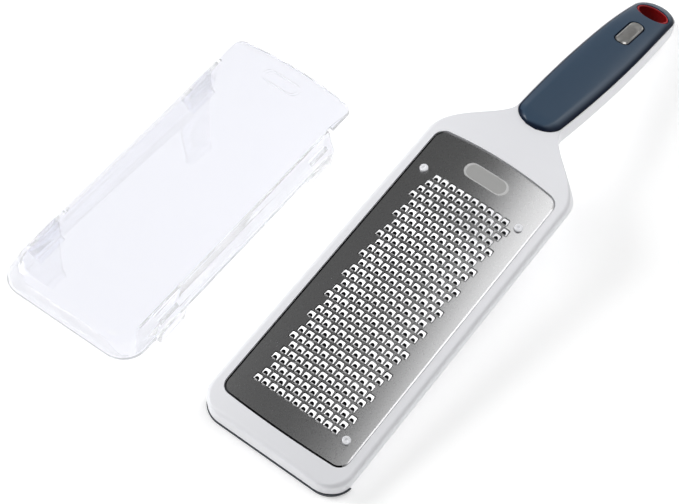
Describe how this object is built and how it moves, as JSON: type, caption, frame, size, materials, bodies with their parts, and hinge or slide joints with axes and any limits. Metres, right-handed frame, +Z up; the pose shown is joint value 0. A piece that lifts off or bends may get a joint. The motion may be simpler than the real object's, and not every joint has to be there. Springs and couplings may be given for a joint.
{
  "type": "fine grater",
  "caption": "Hand-held fine grater: arched steel plate of raised teeth in a white frame with a soft-grip handle and lined hang hole, beside the clear clip-on cover taken off it.",
  "frame": {"origin": "middle of the set's footprint on the table that the grater leans on and the cover stands on", "axes": "+Y along the grater from its nose to its handle, +Z up, +X to the right seen from the nose"},
  "size_m": [0.183, 0.3344, 0.0403],
  "materials": {
    "white_plastic": "satin white moulding",
    "plate_steel": "satin stainless sheet with etched teeth",
    "navy_soft": "soft-touch navy",
    "badge_steel": "brushed, bare",
    "red_plastic": "smooth red liner",
    "clear_plastic": "clear, faintly lavender"
  },
  "bodies": {
    "grater": {"body_frame": "white_plastic", "grater_plate": "plate_steel", "stake_far_left": "white_plastic", "stake_far_right": "white_plastic", "stake_near_right": "white_plastic", "soft_grip": "navy_soft", "nose_foot": "navy_soft", "handle_badge": "badge_steel", "hang_ring": "red_plastic"},
    "cover": {"clear_cover": "clear_plastic"}
  },
  "joints": [
    {"name": "cover_lift", "type": "slide", "parent": "grater", "child": "cover", "axis": [0, 0, 1], "range_m": [0, 0.08]}
  ]
}
